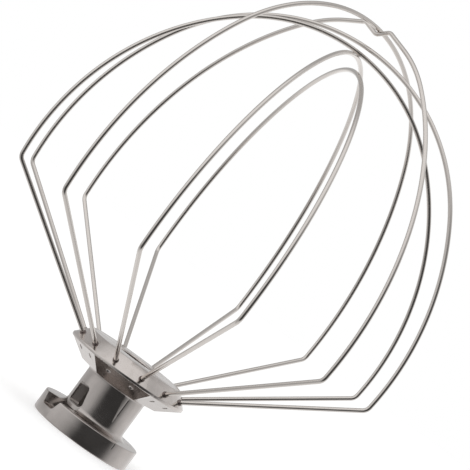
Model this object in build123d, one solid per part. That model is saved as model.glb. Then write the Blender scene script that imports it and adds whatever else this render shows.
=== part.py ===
from build123d import *
from math import asin, atan, atan2, cos, degrees, pi, radians, sin, sqrt, tan
import os

# Stand mixer wire whip: a cast hub with six staked wire loops, stood on its drive end.
# Millimetres. The origin is the centre of the flange's bottom face, +Z runs up to the loops,
# and the front, where the near flat of the skirt is, faces -Y.

# Shaft bore
SHAFT_DIAMETER = 12.7
SHAFT_CLEARANCE = 0.05
BORE_CHAMFER = 0.4

# Hub, from the drive end up
FLANGE_RADIUS = 16.8
FLANGE_HEIGHT = 6.6
FLANGE_EDGE_ROUNDING = 0.4
WAIST_RADIUS = 10.2
WAIST_HEIGHT = 13.2
WAIST_ROOT_FILLET = 2.1
SKIRT_FLATS = 6
SKIRT_TURN = -2.5
SKIRT_HEIGHT = 4.4
SKIRT_CORNER_STEP = 3.3
SKIRT_CORNER_INSET = 0.1
SKIRT_ROOT_FILLET = 0.9
RIM_RADIUS = 20.4
RIM_THICKNESS = 0.9
RIM_ROUNDING = 0.3
CONE_WIDTH = 4.1
CONE_HEIGHT = 4.2
HEAD_EDGE_ROUNDING = 0.4

# Bayonet for the shaft's cross pin: entry groove, swing pocket, seat notch and window.
# Angles are measured from the front, positive towards +X.
PIN_ENTRY_ANGLE = -125.0
PIN_GROOVE_WIDTH = 6.0
POCKET_WALL = 1.3
SEAT_ANGLE = -54.0
SEAT_DEPTH = 3.4
SEAT_TOP_WIDTH = 8.4
SEAT_BOTTOM_WIDTH = 5.6
SEAT_ROUNDING = 1.2
SILL_HEIGHT = 1.4
WINDOW_HEIGHT = 6.8
WINDOW_LEFT = 2.5
WINDOW_RIGHT_AT_FOOT = 4.5
WINDOW_RIGHT_AT_TOP = 2.9
WINDOW_ROUNDING = 1.3

# Wire and how it sits in the hub
WIRE_DIAMETER = 1.4
HOLE_CLEARANCE = 0.05
HOLE_INSET_FROM_RIM = 1.6
HOLE_DEPTH = 6.5
STAKE_DROP_FROM_RIM = 1.5
STAKE_SPREAD_ANGLE = 15.0
STAKE_PUNCH_RADIUS = 1.0
STAKE_MARK_DEPTH = 0.45

# Loops: the bend circle is common to all six
BEND_CIRCLE_RADIUS = 66.0
BEND_HEIGHT = 58.3
BEND_RADIUS = 3.0
SIDE_LEAN_ANGLE = 6.2
CROSSING_GAP = 0.1

# Each loop: turn of its plane about the axis, height of its crown, and the inward heading,
# in degrees from the vertical, at which its side arc becomes its crown arc
LOOP_1_ANGLE = 19.1
LOOP_1_REACH = 143.4
LOOP_1_CROWN_ANGLE = 50.9
LOOP_2_ANGLE = -17.8
LOOP_2_REACH = 146.1
LOOP_2_CROWN_ANGLE = 32.7
LOOP_3_ANGLE = 47.7
LOOP_3_REACH = 152.7
LOOP_3_CROWN_ANGLE = 33.6
LOOP_4_ANGLE = -47.3
LOOP_4_RISE_OVER_LOOP_3 = 0.1
LOOP_4_CROWN_ANGLE = 54.7
LOOP_5_ANGLE = 74.6
LOOP_5_REACH = 141.8
LOOP_5_CROWN_ANGLE = 62.0
LOOP_6_ANGLE = -76.4
LOOP_6_REACH = 137.7
LOOP_6_CROWN_ANGLE = 60.0
LOOPS = {
    "wire_loop_1": (LOOP_1_ANGLE, LOOP_1_REACH, LOOP_1_CROWN_ANGLE),
    "wire_loop_2": (LOOP_2_ANGLE, LOOP_2_REACH, LOOP_2_CROWN_ANGLE),
    "wire_loop_3": (LOOP_3_ANGLE, LOOP_3_REACH, LOOP_3_CROWN_ANGLE),
    "wire_loop_4": (LOOP_4_ANGLE, LOOP_3_REACH + LOOP_4_RISE_OVER_LOOP_3, LOOP_4_CROWN_ANGLE),
    "wire_loop_5": (LOOP_5_ANGLE, LOOP_5_REACH, LOOP_5_CROWN_ANGLE),
    "wire_loop_6": (LOOP_6_ANGLE, LOOP_6_REACH, LOOP_6_CROWN_ANGLE),
}

# The kink in loop 4's crown, in which loop 3 lies: where it leaves the crown arc, in degrees
# from the top, and how far out its shoulders are, as a share of that point's distance
KINKED_LOOP = "wire_loop_4"
KINK_LEFT_ANGLE = 17.8
KINK_LEFT_SHOULDER_SHARE = 0.46
KINK_RIGHT_ANGLE = 16.6
KINK_RIGHT_SHOULDER_SHARE = 0.33
KINK_ROUNDING = 2.5

# Derived sizes
bore_radius = SHAFT_DIAMETER / 2 + SHAFT_CLEARANCE
wire_radius = WIRE_DIAMETER / 2
hole_radius = wire_radius + HOLE_CLEARANCE
skirt_bottom = FLANGE_HEIGHT + WAIST_HEIGHT
rim_bottom = skirt_bottom + SKIRT_HEIGHT
rim_top = rim_bottom + RIM_THICKNESS
head_top = rim_top + CONE_HEIGHT
head_top_radius = RIM_RADIUS - CONE_WIDTH
skirt_foot_corner = WAIST_RADIUS + SKIRT_CORNER_STEP
skirt_top_corner = RIM_RADIUS - SKIRT_CORNER_INSET
pocket_radius = WAIST_RADIUS - POCKET_WALL
seat_bottom = FLANGE_HEIGHT - SEAT_DEPTH
window_bottom = FLANGE_HEIGHT + SILL_HEIGHT
window_top = window_bottom + WINDOW_HEIGHT
hole_mouth_radius = RIM_RADIUS - HOLE_INSET_FROM_RIM
hole_mouth_height = rim_top + HOLE_INSET_FROM_RIM * CONE_HEIGHT / CONE_WIDTH
leg_rise = BEND_HEIGHT - hole_mouth_height
leg_angle = degrees(atan2(leg_rise, BEND_CIRCLE_RADIUS - hole_mouth_radius))


def along(point, angle, distance):
    """The point at a distance from another, in a direction in degrees."""
    return (point[0] + distance * cos(radians(angle)), point[1] + distance * sin(radians(angle)))


def arch_radii(bend_end, reach, crown_angle):
    """Radii of the side arc and the crown arc that carry a loop from its bend to its crown.

    An arc of radius r from heading p to q goes inward by r(cos p - cos q) and up by
    r(sin q - sin p). The two arcs together go inward to the axis and up to the reach.
    """
    p = radians(-SIDE_LEAN_ANGLE)
    q = radians(crown_angle)
    inward, upward = bend_end[0], reach - bend_end[1]
    side_in, side_up = cos(p) - cos(q), sin(q) - sin(p)
    crown_in, crown_up = cos(q), 1 - sin(q)
    scale = side_in * crown_up - crown_in * side_up
    side_radius = (inward * crown_up - upward * crown_in) / scale
    crown_radius = (side_in * upward - side_up * inward) / scale
    return side_radius, crown_radius


def kink_line(reach, crown_radius):
    """The kink's bent line between the two points where it leaves the crown arc."""

    def crown_height(x):
        return reach - crown_radius + sqrt(crown_radius**2 - x**2)

    def on_tangent(start, x):
        slope = -start / sqrt(crown_radius**2 - start**2)
        return (x, crown_height(start) + slope * (x - start))

    left_start = -crown_radius * sin(radians(KINK_LEFT_ANGLE))
    right_start = crown_radius * sin(radians(KINK_RIGHT_ANGLE))
    left = on_tangent(left_start, left_start * KINK_LEFT_SHOULDER_SHARE)
    right = on_tangent(right_start, right_start * KINK_RIGHT_SHOULDER_SHARE)
    floor = LOOP_3_REACH - WIRE_DIAMETER - CROSSING_GAP
    left_fall = atan2(left[1] - floor, -left[0])
    right_fall = atan2(right[1] - floor, right[0])
    turn = left_fall + right_fall
    drop = KINK_ROUNDING * (1 / cos(turn / 2) - 1)
    return FilletPolyline(
        (left_start, crown_height(left_start)),
        left,
        (0, floor - drop),
        right,
        (right_start, crown_height(right_start)),
        radius=KINK_ROUNDING,
    )


def wire_loop(name):
    """One wire: leg, bend, side arc and crown arc, and back down, turned about the axis."""
    turn, reach, crown_angle = LOOPS[name]
    leg_heading = 180 - leg_angle
    side_heading = 90 + SIDE_LEAN_ANGLE
    bend_turn = leg_heading - side_heading
    to_corner = BEND_RADIUS * tan(radians(bend_turn / 2))
    corner = (-BEND_CIRCLE_RADIUS, BEND_HEIGHT)
    hole_mouth = (-hole_mouth_radius, hole_mouth_height)
    foot = along(hole_mouth, leg_heading, -(HOLE_DEPTH - HOLE_CLEARANCE))
    bend_start = along(corner, leg_heading, -to_corner)
    bend_end = along(corner, side_heading, to_corner)
    side_radius, crown_radius = arch_radii((-bend_end[0], bend_end[1]), reach, crown_angle)

    def half(kink_angle):
        """The left half's edges; the crown arc stops this many degrees before the top."""
        leg = Line(foot, bend_start)
        bend = JernArc(leg @ 1, leg % 1, BEND_RADIUS, -bend_turn)
        side = JernArc(bend @ 1, bend % 1, side_radius, -(SIDE_LEAN_ANGLE + crown_angle))
        crown = JernArc(side @ 1, side % 1, crown_radius, -(90 - crown_angle - kink_angle))
        return [leg, bend, side, crown]

    if name == KINKED_LOOP:
        left, right = half(KINK_LEFT_ANGLE), half(KINK_RIGHT_ANGLE)
        middle = kink_line(reach, crown_radius).edges()
    else:
        left, right, middle = half(0), half(0), []
    path = Wire(left + list(middle) + [edge.mirror(Plane.YZ) for edge in right])
    section = Plane(origin=path @ 0, z_dir=path % 0) * Circle(wire_radius)
    return Rot(Z=turn) * (Plane.XZ * sweep(section, path=path))


def hub_body():
    """The turned shape of the hub with its six-sided skirt, before the bayonet is cut."""
    half = Polyline(
        (bore_radius, 0),
        (FLANGE_RADIUS, 0),
        (FLANGE_RADIUS, FLANGE_HEIGHT),
        (WAIST_RADIUS, FLANGE_HEIGHT),
        (WAIST_RADIUS, rim_bottom),
        (RIM_RADIUS, rim_bottom),
        (RIM_RADIUS, rim_top),
        (head_top_radius, head_top),
        (bore_radius, head_top),
        close=True,
    )
    face = make_face(half)

    def corners(radius, height=None):
        return [
            v
            for v in face.vertices()
            if abs(v.X - radius) < 0.01 and (height is None or abs(v.Y - height) < 0.01)
        ]

    face = fillet(corners(FLANGE_RADIUS), FLANGE_EDGE_ROUNDING)
    face = fillet(corners(WAIST_RADIUS, FLANGE_HEIGHT), WAIST_ROOT_FILLET)
    face = fillet(corners(RIM_RADIUS), RIM_ROUNDING)
    face = fillet(corners(head_top_radius), HEAD_EDGE_ROUNDING)
    face = chamfer(corners(bore_radius), BORE_CHAMFER)
    turned = revolve(Plane.XZ * face, axis=Axis.Z)
    foot = Plane.XY.offset(skirt_bottom) * RegularPolygon(skirt_foot_corner, SKIRT_FLATS)
    top = Plane.XY.offset(rim_bottom) * RegularPolygon(skirt_top_corner, SKIRT_FLATS)
    skirt = loft([foot, top], ruled=True) - upright(bore_radius + BORE_CHAMFER, head_top)
    hub = turned + Rot(Z=SKIRT_TURN) * skirt
    roots = [
        edge
        for edge in hub.edges().filter_by(GeomType.CIRCLE)
        if abs(edge.radius - WAIST_RADIUS) < 0.01 and abs(edge.center().Z - skirt_bottom) < 0.01
    ]
    return fillet(roots, SKIRT_ROOT_FILLET)


def upright(radius, height):
    """A cylinder about the axis that stands on the base plane."""
    return Cylinder(radius, height, align=(Align.CENTER, Align.CENTER, Align.MIN))


def sideways_cut(points, rounding, depth):
    """A rounded outline of (aside, height) points, cut from the axis out towards the front."""
    face = make_face(Polyline(*points, close=True))
    return extrude(Plane.XZ * fillet(face.vertices(), rounding), depth)


def seat_notch():
    """The notch in the flange's upper edge; it runs under the sill and up the waist's root."""
    top = FLANGE_HEIGHT + WAIST_ROOT_FILLET + 2 * SEAT_ROUNDING
    outline = [
        (-SEAT_TOP_WIDTH / 2, top),
        (-SEAT_TOP_WIDTH / 2, FLANGE_HEIGHT),
        (-SEAT_BOTTOM_WIDTH / 2, seat_bottom),
        (SEAT_BOTTOM_WIDTH / 2, seat_bottom),
        (SEAT_TOP_WIDTH / 2, FLANGE_HEIGHT),
        (SEAT_TOP_WIDTH / 2, top),
    ]
    notch = sideways_cut(outline, SEAT_ROUNDING, RIM_RADIUS)
    return notch - Pos(0, 0, FLANGE_HEIGHT) * upright(WAIST_RADIUS, WAIST_HEIGHT)


def waist_window():
    """The window in the waist over the notch."""
    outline = [
        (-WINDOW_LEFT, window_bottom),
        (-WINDOW_LEFT, window_top),
        (WINDOW_RIGHT_AT_TOP, window_top),
        (WINDOW_RIGHT_AT_FOOT, window_bottom),
    ]
    return sideways_cut(outline, WINDOW_ROUNDING, WAIST_RADIUS + WAIST_ROOT_FILLET)


def swing_pocket():
    """The hidden way of the pin: up the entry groove and round to over the notch."""
    half_angle = degrees(asin(PIN_GROOVE_WIDTH / 2 / pocket_radius))
    groove = Box(
        PIN_GROOVE_WIDTH, pocket_radius, window_top, align=(Align.CENTER, Align.MAX, Align.MIN)
    )
    groove = Rot(Z=PIN_ENTRY_ANGLE) * groove & upright(pocket_radius, window_top)
    swing = Cylinder(
        pocket_radius,
        WINDOW_HEIGHT,
        arc_size=SEAT_ANGLE - PIN_ENTRY_ANGLE + half_angle,
        align=(Align.CENTER, Align.CENTER, Align.MIN),
    )
    start = PIN_ENTRY_ANGLE - half_angle - 90
    return groove + Pos(0, 0, window_bottom) * Rot(Z=start) * swing


def wire_hole(turn):
    """The blind hole for one wire end, drilled down the line of the leg."""
    bottom = along((hole_mouth_radius, hole_mouth_height), leg_angle, -HOLE_DEPTH)
    drill = Rot(Y=90 - leg_angle) * upright(hole_radius, 2 * HOLE_DEPTH)
    return Rot(Z=turn) * Pos(bottom[0], 0, bottom[1]) * drill


def stake_mark(flat, side):
    """The round punch mark on one of the skirt's flats, left or right of its middle."""
    flat_share = cos(pi / SKIRT_FLATS)
    spread = (skirt_top_corner - skirt_foot_corner) / SKIRT_HEIGHT * flat_share
    flat_radius = skirt_top_corner * flat_share - spread * STAKE_DROP_FROM_RIM
    tilt = atan(spread)
    lift = STAKE_PUNCH_RADIUS - STAKE_MARK_DEPTH
    centre = (
        flat_radius + lift * cos(tilt),
        side * flat_radius * tan(radians(STAKE_SPREAD_ANGLE)),
        rim_bottom - STAKE_DROP_FROM_RIM - lift * sin(tilt),
    )
    turn = SKIRT_TURN + (flat + 0.5) * 360 / SKIRT_FLATS
    return Rot(Z=turn) * Pos(*centre) * Sphere(STAKE_PUNCH_RADIUS)


hub = hub_body() - Rot(Z=SEAT_ANGLE) * (seat_notch() + waist_window()) - swing_pocket()
for loop_turn, loop_reach, crown_angle in LOOPS.values():
    hub -= wire_hole(loop_turn)
    hub -= wire_hole(loop_turn + 180)
for flat in range(SKIRT_FLATS):
    hub -= stake_mark(flat, -1)
    hub -= stake_mark(flat, 1)

os.makedirs("parts", exist_ok=True)
export_step(hub, "parts/hub.step")
for loop_name in LOOPS:
    export_step(wire_loop(loop_name), f"parts/{loop_name}.step")
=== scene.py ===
import math

import bmesh
import bpy
import numpy as np
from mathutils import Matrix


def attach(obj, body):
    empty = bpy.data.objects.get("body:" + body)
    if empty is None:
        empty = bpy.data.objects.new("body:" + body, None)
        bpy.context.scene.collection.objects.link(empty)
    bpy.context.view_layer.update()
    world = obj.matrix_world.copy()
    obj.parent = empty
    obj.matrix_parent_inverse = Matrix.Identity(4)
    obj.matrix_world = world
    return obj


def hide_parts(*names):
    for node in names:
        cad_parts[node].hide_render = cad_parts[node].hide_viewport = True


# Stand mixer wire whip, standing on the drive end of its hub.
# Sizes are in millimetres until a mesh is made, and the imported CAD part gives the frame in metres.
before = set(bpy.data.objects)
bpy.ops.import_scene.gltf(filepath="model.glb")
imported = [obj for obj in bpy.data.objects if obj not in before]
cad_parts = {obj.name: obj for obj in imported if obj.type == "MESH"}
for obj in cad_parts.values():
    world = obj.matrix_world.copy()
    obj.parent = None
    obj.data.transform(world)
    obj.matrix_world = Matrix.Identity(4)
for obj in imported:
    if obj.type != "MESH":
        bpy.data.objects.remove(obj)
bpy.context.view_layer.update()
MM = 0.001

# Hub: one aluminium casting, turned on its round faces and tumbled bright. Its skirt has six flats,
# and a punch mark on the skirt under each wire hole stakes the wire. The mesh is a copy of the CAD
# node with its loose triangles joined, so that the round faces shade smoothly.
EDGE_ANGLE = 28.0
JOIN_DISTANCE = 0.001
hub_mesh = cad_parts["hub"].data.copy()
hub = bpy.data.objects.new("hub_casting", hub_mesh)
bpy.context.scene.collection.objects.link(hub)


def join_and_smooth(mesh):
    """Merges a mesh's doubled points and shades it smooth, save where faces meet above EDGE_ANGLE."""
    work = bmesh.new()
    work.from_mesh(mesh)
    bmesh.ops.remove_doubles(work, verts=work.verts, dist=JOIN_DISTANCE * MM)
    for face in work.faces:
        face.smooth = True
    for edge in work.edges:
        if len(edge.link_faces) == 2:
            edge.smooth = edge.calc_face_angle(0) < math.radians(EDGE_ANGLE)
    work.to_mesh(mesh)
    work.free()
    if "custom_normal" in mesh.attributes:
        mesh.attributes.remove(mesh.attributes["custom_normal"])
    mesh.update()


join_and_smooth(hub_mesh)


def metal(name, colour, roughness):
    """A node material with a metallic Principled shader; returns it with its nodes and links."""
    material = bpy.data.materials.new(name)
    material.use_nodes = True
    nodes, links = material.node_tree.nodes, material.node_tree.links
    shader = nodes["Principled BSDF"]
    shader.inputs["Metallic"].default_value = 1.0
    shader.inputs["Base Color"].default_value = (*colour, 1)
    shader.inputs["Roughness"].default_value = roughness
    return material, nodes, links, shader


CAST_COLOUR = (0.76, 0.705, 0.675)
CAST_DULL_COLOUR = (0.68, 0.63, 0.60)
CAST_ROUGHNESS = (0.13, 0.26)
cast, nodes, links, shader = metal("burnished_cast_aluminium", CAST_COLOUR, CAST_ROUGHNESS[0])
place = nodes.new("ShaderNodeTexCoord")


def calculate(operation, first, second=None, third=None):
    """A Math node in the current material; a number goes in its socket and an output is linked."""
    node = nodes.new("ShaderNodeMath")
    node.operation = operation
    for socket, value in zip(node.inputs, (first, second, third)):
        if isinstance(value, (int, float)):
            socket.default_value = value
        elif value is not None:
            links.new(value, socket)
    return node.outputs[0]


def parts(vector):
    """A vector's X, Y and Z."""
    node = nodes.new("ShaderNodeSeparateXYZ")
    links.new(vector, node.inputs["Vector"])
    return node.outputs


def noise(vector, scale, detail):
    """A noise texture's grey output over a vector."""
    node = nodes.new("ShaderNodeTexNoise")
    node.inputs["Scale"].default_value = scale
    node.inputs["Detail"].default_value = detail
    links.new(vector, node.inputs["Vector"])
    return node.outputs["Fac"]


def spread(value, low, high, to_low, to_high):
    """A value's range carried over to another range, held at its ends."""
    node = nodes.new("ShaderNodeMapRange")
    for name, number in zip(("From Min", "From Max", "To Min", "To Max"), (low, high, to_low, to_high)):
        node.inputs[name].default_value = number
    links.new(value, node.inputs["Value"])
    return node.outputs["Result"]


def mix_colours(share, first, second, blend_type="MIX"):
    """A colour Mix node; a share or a colour goes in its socket and an output is linked."""
    node = nodes.new("ShaderNodeMix")
    node.data_type = "RGBA"
    node.blend_type = blend_type
    for socket, value in ((node.inputs[0], share), (node.inputs[6], first), (node.inputs[7], second)):
        if isinstance(value, float):
            socket.default_value = value
        elif isinstance(value, tuple):
            socket.default_value = (*value, 1)
        else:
            links.new(value, socket)
    return node.outputs[2]


# The burnish is mottled, with noise scales per metre. Below its rim the hub's colour is darker,
# as painted shade. In its recesses the colour is darker as painted shade, and the surface is rougher
# because the tumbling media hardly reaches there; the pin's pocket keeps its cast skin. Openness is
# the share of its surroundings that a point sees within the recess reach.
MOTTLE = {"scale": 160, "detail": 5}
MOTTLE_TO_COLOUR, MOTTLE_TO_GLOSS = (0.35, 0.6), (0.3, 0.7)
LOWER_SHADE_TOP, LOWER_PAINTED_SHADE = (24.0, 24.5), 0.8
RECESS_REACH = 8.0
PAINTED_RECESS_SHADE, SHADED_OPENNESS = 0.7, (0.25, 0.85)
RECESS_ROUGHNESS, ROUGH_OPENNESS = 0.6, (0.1, 0.5)
CAST_SKIN_EDGE, CAST_SKIN_TOP, CAST_SKIN_METALLIC = (8.95, 10.1), 14.85, 0.45
NODE_SAMPLES = 8
x, y, z = parts(place.outputs["Object"])
mottle = noise(place.outputs["Object"], **MOTTLE)
burnish = mix_colours(spread(mottle, *MOTTLE_TO_COLOUR, 0, 1), CAST_DULL_COLOUR, CAST_COLOUR)
hollow = nodes.new("ShaderNodeAmbientOcclusion")
hollow.samples = NODE_SAMPLES
hollow.only_local = True
hollow.inputs["Distance"].default_value = RECESS_REACH * MM
# Painted shade: the colour darkens in the recesses, where less of the surroundings is open.
painted_recess_shade = spread(hollow.outputs["AO"], *SHADED_OPENNESS, PAINTED_RECESS_SHADE, 1)
# Painted shade: the colour is darker below the rim.
painted_lower_shade = spread(z, *(edge * MM for edge in LOWER_SHADE_TOP), LOWER_PAINTED_SHADE, 1)
burnish_in_painted_shade = mix_colours(1.0, burnish, calculate("MULTIPLY", painted_recess_shade, painted_lower_shade), "MULTIPLY")
smooth = spread(mottle, *MOTTLE_TO_GLOSS, *CAST_ROUGHNESS)
untouched = spread(hollow.outputs["AO"], *ROUGH_OPENNESS, RECESS_ROUGHNESS, CAST_ROUGHNESS[0])
links.new(calculate("MAXIMUM", smooth, untouched), shader.inputs["Roughness"])
from_axis = calculate("SQRT", calculate("MULTIPLY_ADD", y, y, calculate("MULTIPLY", x, x)))
near_axis = spread(from_axis, *(edge * MM for edge in CAST_SKIN_EDGE), 1, 0)
in_pocket = calculate("MULTIPLY", near_axis, calculate("LESS_THAN", z, CAST_SKIN_TOP * MM))
links.new(spread(in_pocket, 0, 1, 1, CAST_SKIN_METALLIC), shader.inputs["Metallic"])

# The mould's parting line shows as a fine dark groove on the waist, where a tapering strip beside
# it was ground down to it, and as a short one on the flange.
WAIST_SEAM = {"angle": 30.8, "radius": 10.2, "low": 12.7, "high": 18.5, "half_width": 0.2}
FLANGE_MARK = {"angle": 34.5, "radius": 16.8, "low": 4.4, "high": 6.5, "half_width": 0.22}
SEAM_CORE_SHARE = 0.4
SEAM_COLOUR, SEAM_DEPTH = (0.12, 0.11, 0.11), 0.2
STRIP_HEIGHTS, STRIP_WIDTHS, STRIP_SLOPE = (10.5, 18.5), (0.2, 1.8), 0.65


def aside_from(angle, radius):
    """How far a point of a round face lies to the right of an upright line, along the face.

    The angle round the axis from the front is arctan2(x, -y); the line's angle is taken off and the
    rest is multiplied by the radius.
    """
    turn = calculate("ARCTAN2", x, calculate("MULTIPLY", y, -1))
    return calculate("MULTIPLY", calculate("SUBTRACT", turn, math.radians(angle)), radius * MM)


def upright_line(angle, radius, low, high, half_width):
    """One on a thin upright line of a round face between two heights, and nought beside it."""
    aside = calculate("ABSOLUTE", aside_from(angle, radius))
    line = spread(aside, SEAM_CORE_SHARE * half_width * MM, half_width * MM, 1, 0)
    over, under = calculate("GREATER_THAN", z, low * MM), calculate("LESS_THAN", z, high * MM)
    return calculate("MULTIPLY", line, calculate("MULTIPLY", over, under))


seams = calculate("ADD", upright_line(**WAIST_SEAM), upright_line(**FLANGE_MARK))
links.new(mix_colours(seams, burnish_in_painted_shade, SEAM_COLOUR), shader.inputs["Base Color"])
beside_seam = aside_from(WAIST_SEAM["angle"], WAIST_SEAM["radius"])
strip_width = spread(z, *(size * MM for size in STRIP_HEIGHTS + STRIP_WIDTHS))
onto_strip = calculate("MAXIMUM", calculate("ADD", beside_seam, strip_width), 0)
left_of_seam = calculate("LESS_THAN", beside_seam, 0)
over_foot = calculate("GREATER_THAN", z, STRIP_HEIGHTS[0] * MM)
ground = calculate("MULTIPLY", onto_strip, calculate("MULTIPLY", left_of_seam, over_foot))

# The surface waves a little and has a fine grain, and the edges are worn round.
WAVES = {"scale": 320, "detail": 2}
GRAIN, GRAIN_SHARE = {"scale": 2400, "detail": 3}, 0.12
RELIEF_STRENGTH, RELIEF_HEIGHT = 0.25, 0.05
EDGE_WEAR_RADIUS = 0.25
waves = noise(place.outputs["Object"], **WAVES)
grain = noise(place.outputs["Object"], **GRAIN)
height = calculate("MULTIPLY_ADD", grain, GRAIN_SHARE, waves)
height = calculate("MULTIPLY_ADD", ground, -STRIP_SLOPE / (RELIEF_HEIGHT * MM), height)
height = calculate("MULTIPLY_ADD", seams, -SEAM_DEPTH / RELIEF_HEIGHT, height)
worn_edges = nodes.new("ShaderNodeBevel")
worn_edges.samples = NODE_SAMPLES
worn_edges.inputs["Radius"].default_value = EDGE_WEAR_RADIUS * MM
relief = nodes.new("ShaderNodeBump")
relief.inputs["Strength"].default_value = RELIEF_STRENGTH
relief.inputs["Distance"].default_value = RELIEF_HEIGHT * MM
links.new(worn_edges.outputs["Normal"], relief.inputs["Normal"])
links.new(height, relief.inputs["Height"])
links.new(relief.outputs["Normal"], shader.inputs["Normal"])
hub_mesh.materials.clear()
hub_mesh.materials.append(cast)
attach(hub, "root")
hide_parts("hub")

# Wire loops: six lengths of bright drawn stainless wire, each bent flat in one plane through the
# axis. A straight leg leaves the hub's drilled hole, turns sharply at the cage's widest circle, and
# a side arc and a crown arc carry it over the top. One tall crown is kinked to hold the other.
WIRE_RADIUS = 0.7
HOLE_MOUTH = (18.8, 26.739)
HOLE_DEPTH = 6.45
BEND_CORNER = (66.0, 58.3)
BEND_RADIUS = 3.0
LEG_ANGLE = math.atan2(BEND_CORNER[1] - HOLE_MOUTH[1], BEND_CORNER[0] - HOLE_MOUTH[0])
SIDE_LEAN_OUT = 6.2
CROSSING_GAP = 0.1
# A loop's turn about the axis, its reach, and how far it leans inward where its crown arc begins
LOOPS = {
    "wire_loop_1": (19.1, 143.4, 50.9),
    "wire_loop_2": (-17.8, 146.1, 32.7),
    "wire_loop_3": (47.7, 152.7, 33.6),
    "wire_loop_4": (-47.3, 152.8, 54.7),
    "wire_loop_5": (74.6, 141.8, 62.0),
    "wire_loop_6": (-76.4, 137.7, 60.0),
}
KINKED_LOOP = "wire_loop_4"
LOOP_IN_KINK = "wire_loop_3"
KINK_ANGLES = (17.8, 16.6)
KINK_SHOULDER_SHARES = (0.46, 0.33)
KINK_ROUNDING = 2.5
STRAIGHT_STEP, ARC_STEP = 1.5, 1.5
WIRE_SIDES = 24


def walk(start, heading, moves):
    """Points of a flat line made of straight runs and tangent arcs.

    A move is (length, 0) for a run, or (radius, turn) for an arc, turn in radians, positive to the
    left. Along an arc the heading grows in proportion to the length, and the point at heading a is
    the centre plus radius times (sin a, -cos a), with the sign of the turn.
    """
    points = [np.array([start])]
    for size, turn in moves:
        last = points[-1][-1]
        if turn == 0:
            steps = max(1, int(math.ceil(size / STRAIGHT_STEP)))
            share = np.arange(1, steps + 1)[:, None] / steps
            points.append(last + share * size * np.array([math.cos(heading), math.sin(heading)]))
            continue
        side = math.copysign(1, turn)
        centre = last + side * size * np.array([-math.sin(heading), math.cos(heading)])
        steps = max(6, int(math.ceil(size * abs(turn) / ARC_STEP)))
        angle = heading + turn * np.arange(1, steps + 1) / steps
        points.append(centre + side * size * np.column_stack([np.sin(angle), -np.cos(angle)]))
        heading += turn
    return np.vstack(points)


def arch_radii(bend_end, reach, crown_angle):
    """Radii of the side arc and the crown arc that carry a loop from its bend to its crown.

    An arc of radius r from heading p to q goes inward by r(cos p - cos q) and up by
    r(sin q - sin p). The two arcs together go inward to the axis and up to the reach.
    """
    p = -math.radians(SIDE_LEAN_OUT)
    inward, upward = bend_end[0], reach - bend_end[1]
    side_in, side_up = math.cos(p) - math.cos(crown_angle), math.sin(crown_angle) - math.sin(p)
    crown_in, crown_up = math.cos(crown_angle), 1 - math.sin(crown_angle)
    scale = side_in * crown_up - crown_in * side_up
    side_radius = (inward * crown_up - upward * crown_in) / scale
    crown_radius = (side_in * upward - side_up * inward) / scale
    return side_radius, crown_radius


def kink_moves(reach, crown_radius):
    """The moves of the kink: four runs between the crown arc, two shoulders and the notch floor,
    each corner rounded by an arc that takes radius times tan(half the turn) off both runs."""
    signs = (-1, 1)
    xs = [s * crown_radius * math.sin(math.radians(a)) for s, a in zip(signs, KINK_ANGLES)]
    slopes = [-x / math.sqrt(crown_radius**2 - x**2) for x in xs]
    starts = [(x, reach - crown_radius + math.sqrt(crown_radius**2 - x**2)) for x in xs]
    shoulders = [
        (share * x, start[1] + slope * (share - 1) * x)
        for share, x, start, slope in zip(KINK_SHOULDER_SHARES, xs, starts, slopes)
    ]
    floor = LOOPS[LOOP_IN_KINK][1] - 2 * WIRE_RADIUS - CROSSING_GAP
    falls = [math.atan2(point[1] - floor, abs(point[0])) for point in shoulders]
    drop = KINK_ROUNDING * (1 / math.cos(sum(falls) / 2) - 1)
    corners = np.array([starts[0], shoulders[0], (0, floor - drop), shoulders[1], starts[1]])
    runs = np.diff(corners, axis=0)
    lengths = np.hypot(runs[:, 0], runs[:, 1])
    headings = np.arctan2(runs[:, 1], runs[:, 0])
    turns = np.diff(headings)
    trims = np.concatenate([[0], KINK_ROUNDING * np.tan(np.abs(turns) / 2), [0]])
    moves = []
    for k, length in enumerate(lengths):
        moves.append((length - trims[k] - trims[k + 1], 0))
        if k < len(turns):
            moves.append((KINK_ROUNDING, turns[k]))
    return moves


def loop_line(reach, crown_angle, kinked):
    """The centre line of a loop in its own plane, from one end in the hub to the other."""
    crown_angle = math.radians(crown_angle)
    side_lean = math.radians(SIDE_LEAN_OUT)
    leg_heading = math.pi - LEG_ANGLE
    bend_turn = leg_heading - (math.pi / 2 + side_lean)
    to_corner = BEND_RADIUS * math.tan(bend_turn / 2)
    leg_length = math.dist(HOLE_MOUTH, BEND_CORNER) + HOLE_DEPTH - to_corner
    bend_end = (
        BEND_CORNER[0] + to_corner * math.sin(side_lean),
        BEND_CORNER[1] + to_corner * math.cos(side_lean),
    )
    side_radius, crown_radius = arch_radii(bend_end, reach, crown_angle)
    up = [(leg_length, 0), (BEND_RADIUS, -bend_turn), (side_radius, -(side_lean + crown_angle))]
    crown_turn = math.pi / 2 - crown_angle
    over = [(crown_radius, -2 * crown_turn)]
    if kinked:
        left, right = (math.radians(a) for a in KINK_ANGLES)
        over = [(crown_radius, -(crown_turn - left))]
        over += kink_moves(reach, crown_radius)
        over += [(crown_radius, -(crown_turn - right))]
    foot = (
        -HOLE_MOUTH[0] + HOLE_DEPTH * math.cos(LEG_ANGLE),
        HOLE_MOUTH[1] - HOLE_DEPTH * math.sin(LEG_ANGLE),
    )
    return walk(foot, leg_heading, up + over + up[::-1])


def plane_axes(turn):
    """The outward direction and the normal of the upright plane at a turn about the axis."""
    turn = math.radians(turn)
    return np.array([[math.cos(turn), math.sin(turn), 0], [math.sin(turn), -math.cos(turn), 0]])


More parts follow.
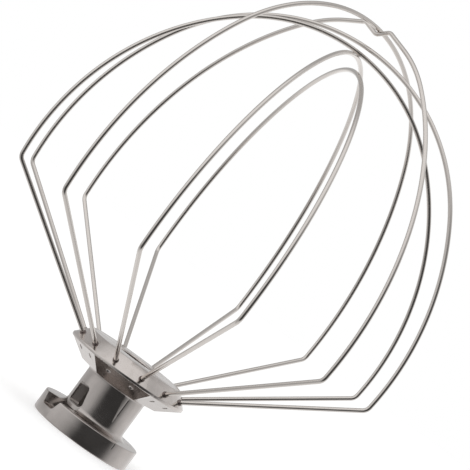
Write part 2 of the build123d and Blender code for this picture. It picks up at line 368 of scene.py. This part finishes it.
def tube_faces(rings, sides):
    """The four vertices of each face between neighbouring rings of a tube.

    Vertex j of ring i is number i times sides plus j, and the last side joins the first.
    """
    ring, side = np.indices((rings - 1, sides)).reshape(2, -1)
    after = (side + 1) % sides
    near, far = ring * sides, (ring + 1) * sides
    return np.column_stack([near + side, near + after, far + after, far + side])


def wire_mesh(name, line, turn):
    """A round wire along a flat line: at each point a circle stands square to the line.

    With the line's tangent t and the plane's normal n, the circle is the point plus the wire's
    radius times (cos a times n plus sin a times t cross n). The ends are closed by a fan, and the
    UV map holds the length along the wire in metres and the share of the way round it.
    """
    out, normal = plane_axes(turn)
    points = line[:, :1] * out + line[:, 1:] * np.array([0, 0, 1])
    tangent = np.gradient(points, axis=0)
    tangent /= np.linalg.norm(tangent, axis=1)[:, None]
    across = np.cross(tangent, normal)
    angle = np.arange(WIRE_SIDES) * 2 * np.pi / WIRE_SIDES
    circles = (
        points[:, None, :]
        + WIRE_RADIUS * np.cos(angle)[None, :, None] * normal
        + WIRE_RADIUS * np.sin(angle)[None, :, None] * across[:, None, :]
    )
    verts = np.vstack([circles.reshape(-1, 3), points[0], points[-1]]) * MM
    faces = tube_faces(len(points), WIRE_SIDES)
    first, last = faces[:WIRE_SIDES], faces[-WIRE_SIDES:]
    fans = np.vstack([
        np.insert(first[:, [1, 0]], 0, len(verts) - 2, axis=1),
        np.insert(last[:, [3, 2]], 0, len(verts) - 1, axis=1),
    ])
    mesh = bpy.data.meshes.new(name)
    mesh.from_pydata(verts.tolist(), [], faces.tolist() + fans.tolist())
    run = np.concatenate([[0], np.cumsum(np.linalg.norm(np.diff(points, axis=0), axis=1))])
    side = faces[:, 0] % WIRE_SIDES
    u = run[faces // WIRE_SIDES] * MM
    v = np.stack([side, side + 1, side + 1, side], axis=1) / WIRE_SIDES
    along = np.vstack([np.column_stack([u.ravel(), v.ravel()]), np.zeros((fans.size, 2))])
    uv = mesh.uv_layers.new(name="along_wire")
    uv.data.foreach_set("uv", along.astype(np.float32).ravel())
    mesh.polygons.foreach_set("use_smooth", np.ones(len(mesh.polygons), bool))
    mesh.update()
    return mesh


# Drawing the wire left faint lines along it, which vary its gloss.
WIRE_COLOUR = (0.785, 0.738, 0.70)
WIRE_ROUGHNESS = (0.08, 0.2)
DRAW_LINES, DRAW_LINE_STRETCH = {"scale": 3, "detail": 4}, (25, 9, 1)
wire_steel, nodes, links, shader = metal("bright_drawn_stainless", WIRE_COLOUR, WIRE_ROUGHNESS[0])
place = nodes.new("ShaderNodeUVMap")
place.uv_map = "along_wire"
stretch = nodes.new("ShaderNodeMapping")
stretch.inputs["Scale"].default_value = DRAW_LINE_STRETCH
links.new(place.outputs["UV"], stretch.inputs["Vector"])
draw_lines = noise(stretch.outputs["Vector"], **DRAW_LINES)
links.new(spread(draw_lines, 0, 1, *WIRE_ROUGHNESS), shader.inputs["Roughness"])
for loop_name, (turn, reach, crown_angle) in LOOPS.items():
    line = loop_line(reach, crown_angle, kinked=loop_name == KINKED_LOOP)
    mesh = wire_mesh(loop_name + "_drawn", line, turn)
    mesh.materials.append(wire_steel)
    wire = bpy.data.objects.new(loop_name + "_drawn", mesh)
    bpy.context.scene.collection.objects.link(wire)
    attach(wire, "root")
    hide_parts(loop_name)

# Raised mouths: where the punch staked a wire, the hub's own metal rose in a low collar round the
# hole's mouth. It is part of the casting. Its dark colour is painted shade from under the wire, and
# it is rougher because the tumbling media doesn't reach under the wire.
COLLAR_PROFILE = [(0.98, -0.28), (0.95, 0.1), (0.91, 0.4), (0.85, 0.54), (0.78, 0.5), (0.71, 0.3)]
COLLAR_SIDES = 24
# The collar's colour is painted shade.
COLLAR_PAINTED_SHADE = (0.26, 0.22, 0.21)
COLLAR_ROUGHNESS = (0.28, 0.5)
SPECKLE, SPECKLE_TO_GLOSS = {"scale": 900, "detail": 3}, (0.3, 0.7)


def collar_rings(turn, side):
    """Rings of a collar: at each (radius, height) of its profile, a circle round the wire's leg.

    A point is the hole's mouth plus height times the leg's direction a, plus radius times
    (cos q times n plus sin q times a cross n), where n is square to the loop's plane.
    """
    out, normal = side * plane_axes(turn)
    up = np.array([0, 0, 1])
    axis = math.cos(LEG_ANGLE) * out + math.sin(LEG_ANGLE) * up
    mouth = HOLE_MOUTH[0] * out + HOLE_MOUTH[1] * up
    radius, height = np.array(COLLAR_PROFILE).T[:, :, None, None]
    q = (np.arange(COLLAR_SIDES) * 2 * np.pi / COLLAR_SIDES)[None, :, None]
    across = np.cross(axis, normal)
    return mouth + height * axis + radius * (np.cos(q) * normal + np.sin(q) * across)


rings = np.array([collar_rings(turn, side) for turn, *_ in LOOPS.values() for side in (-1, 1)])
first_verts = np.arange(len(rings)) * len(COLLAR_PROFILE) * COLLAR_SIDES
collar_faces = first_verts[:, None, None] + tube_faces(len(COLLAR_PROFILE), COLLAR_SIDES)
collar_faces = collar_faces.reshape(-1, 4)
collar_mesh = bpy.data.meshes.new("staked_mouths")
collar_mesh.from_pydata((rings.reshape(-1, 3) * MM).tolist(), [], collar_faces.tolist())
collar_mesh.polygons.foreach_set("use_smooth", np.ones(len(collar_faces), bool))
collar_mesh.update()
collar_metal_in_painted_shade, nodes, links, shader = metal("staked_aluminium", COLLAR_PAINTED_SHADE, COLLAR_ROUGHNESS[0])
place = nodes.new("ShaderNodeTexCoord")
speckle = noise(place.outputs["Object"], **SPECKLE)
links.new(spread(speckle, *SPECKLE_TO_GLOSS, *COLLAR_ROUGHNESS), shader.inputs["Roughness"])
collar_mesh.materials.append(collar_metal_in_painted_shade)
collars = bpy.data.objects.new("staked_mouths", collar_mesh)
bpy.context.scene.collection.objects.link(collars)
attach(collars, "root")

# Floor: a wide white sweep that the whip stands on. It is plain white paper, lit just under full
# white, and takes the hub's soft shadow. From below it is clear, so that the drive end shows.
FLOOR_HALF = 4000.0
PAPER_COLOUR, PAPER_ROUGHNESS = (0.9, 0.9, 0.9, 1), 0.9
PAPER_GLOW = 0.35
floor_mesh = bpy.data.meshes.new("floor")
corners = FLOOR_HALF * MM * np.array([[-1, -1, 0], [1, -1, 0], [1, 1, 0], [-1, 1, 0]])
floor_mesh.from_pydata(corners.tolist(), [], [(0, 1, 2, 3)])
floor = bpy.data.objects.new("floor", floor_mesh)
bpy.context.scene.collection.objects.link(floor)
paper = bpy.data.materials.new("white_paper")
paper.use_nodes = True
nodes, links = paper.node_tree.nodes, paper.node_tree.links
shader = nodes["Principled BSDF"]
shader.inputs["Base Color"].default_value = PAPER_COLOUR
shader.inputs["Roughness"].default_value = PAPER_ROUGHNESS
shader.inputs["Specular IOR Level"].default_value = 0.0
shader.inputs["Emission Color"].default_value = (1, 1, 1, 1)
ray = nodes.new("ShaderNodeLightPath")
seen = calculate("MAXIMUM", ray.outputs["Is Camera Ray"], ray.outputs["Is Glossy Ray"])
links.new(calculate("MULTIPLY", seen, PAPER_GLOW), shader.inputs["Emission Strength"])
facing = nodes.new("ShaderNodeNewGeometry")
clear = nodes.new("ShaderNodeBsdfTransparent")
choice = nodes.new("ShaderNodeMixShader")
links.new(facing.outputs["Backfacing"], choice.inputs[0])
links.new(shader.outputs["BSDF"], choice.inputs[1])
links.new(clear.outputs["BSDF"], choice.inputs[2])
links.new(choice.outputs["Shader"], nodes["Material Output"].inputs["Surface"])
floor_mesh.materials.append(paper)
floor.visible_glossy = False

# Studio light: a white tent round the whip, upright in the photograph, so its directions are turned
# with the camera. A broad light hangs over its front, a white backdrop stands behind the whip, and
# the dark room shows through an oval opening round the camera. A soft lamp draws the shadow.
CAMERA_TURN = (90.738, -36.374, -1.081)
# Each part's brightness, and its edges as degrees of rise or as nearness to the camera's side
WALL_FOOT, WALL, TOP_LIGHT = 0.62, 0.40, 0.84
WALL_FOOT_EDGE, TOP_EDGE = (-45, -10), (8, 42)
REAR_WALL, REAR_TOP, REAR_TOP_EDGE, REAR_EDGE = 0.80, 0.44, (-10, 30), (0, -0.35)
TENT_FLOOR, TENT_FLOOR_EDGE = 0.70, (-56, -72)
BACKDROP, BACKDROP_TOP_EDGE, BACKDROP_EDGE = 0.95, (-8, 14), (-0.75, -0.9)
OPENING_TURN, OPENING_REACH, OPENING_EDGE = (24, 13, 0), (52, 40), (1.2, 0.8)
DARK_ROOM = 0.05
PLAIN_LIGHT, BACKGROUND = 0.75, 1.0
LAMP_PLACE, LAMP_TURN = (-600, -500, 1100), (35, 0, -50)
LAMP_SIZE, LAMP_ENERGY = 700, 2
world = bpy.data.worlds.new("white_studio")
world.use_nodes = True
bpy.context.scene.world = world
nodes, links = world.node_tree.nodes, world.node_tree.links
nodes.clear()
place = nodes.new("ShaderNodeTexCoord")


def turned(vector, angles):
    """A direction along axes that are turned by three angles in degrees."""
    node = nodes.new("ShaderNodeMapping")
    node.vector_type = "TEXTURE"
    node.inputs["Rotation"].default_value = [math.radians(a) for a in angles]
    links.new(vector, node.inputs["Vector"])
    return node.outputs["Vector"]


def blend(value, edge, before, after):
    """Goes from one level to another while a value crosses an edge."""
    share = spread(value, *edge, 0, 1)
    return calculate("MULTIPLY_ADD", share, calculate("SUBTRACT", after, before), before)


in_photo = turned(place.outputs["Generated"], CAMERA_TURN)
_, up, near = parts(in_photo)
rise = calculate("MULTIPLY", calculate("ARCSINE", up), 180 / math.pi)
level = blend(rise, WALL_FOOT_EDGE, WALL_FOOT, WALL)
level = blend(rise, TOP_EDGE, level, TOP_LIGHT)
level = blend(near, REAR_EDGE, level, blend(rise, REAR_TOP_EDGE, REAR_WALL, REAR_TOP))
level = blend(near, BACKDROP_EDGE, level, blend(rise, BACKDROP_TOP_EDGE, BACKDROP, REAR_TOP))
level = blend(rise, TENT_FLOOR_EDGE, level, TENT_FLOOR)
beside, above, ahead = parts(turned(in_photo, OPENING_TURN))
beside = calculate("DIVIDE", beside, math.sin(math.radians(OPENING_REACH[0])))
above = calculate("DIVIDE", above, math.sin(math.radians(OPENING_REACH[1])))
above_squared = calculate("MULTIPLY", above, above)
off_centre = calculate("SQRT", calculate("MULTIPLY_ADD", beside, beside, above_squared))
in_front = calculate("GREATER_THAN", ahead, 0)
opening = calculate("MULTIPLY", spread(off_centre, *OPENING_EDGE, 0, 1), in_front)
level = blend(opening, (0, 1), level, DARK_ROOM)
ray = nodes.new("ShaderNodeLightPath")
plain = spread(ray.outputs["Is Camera Ray"], 0, 1, PLAIN_LIGHT, BACKGROUND)
reflected = calculate("MULTIPLY", ray.outputs["Is Glossy Ray"], calculate("SUBTRACT", level, plain))
surround = nodes.new("ShaderNodeBackground")
surround.inputs["Color"].default_value = (1, 1, 1, 1)
links.new(calculate("ADD", plain, reflected), surround.inputs["Strength"])
output = nodes.new("ShaderNodeOutputWorld")
links.new(surround.outputs["Background"], output.inputs["Surface"])
lamp_data = bpy.data.lights.new("soft_lamp", "AREA")
lamp_data.shape = "DISK"
lamp_data.size = LAMP_SIZE * MM
lamp_data.energy = LAMP_ENERGY
lamp = bpy.data.objects.new("soft_lamp", lamp_data)
lamp.location = [c * MM for c in LAMP_PLACE]
lamp.rotation_euler = [math.radians(a) for a in LAMP_TURN]
lamp.visible_glossy = False
bpy.context.scene.collection.objects.link(lamp)

# Camera: the photograph's view, nearly level and rolled so that the whip leans to the right.
CAMERA_PLACE = (-5.14, -601.51, 70.77)
LENS, SENSOR_WIDTH = 152.7, 36
camera_data = bpy.data.cameras.new("camera")
camera_data.lens = LENS
camera_data.sensor_width = SENSOR_WIDTH
camera = bpy.data.objects.new("camera", camera_data)
camera.location = [c * MM for c in CAMERA_PLACE]
camera.rotation_euler = [math.radians(a) for a in CAMERA_TURN]
bpy.context.scene.collection.objects.link(camera)
bpy.context.scene.camera = camera
bpy.context.scene.view_settings.view_transform = "Standard"
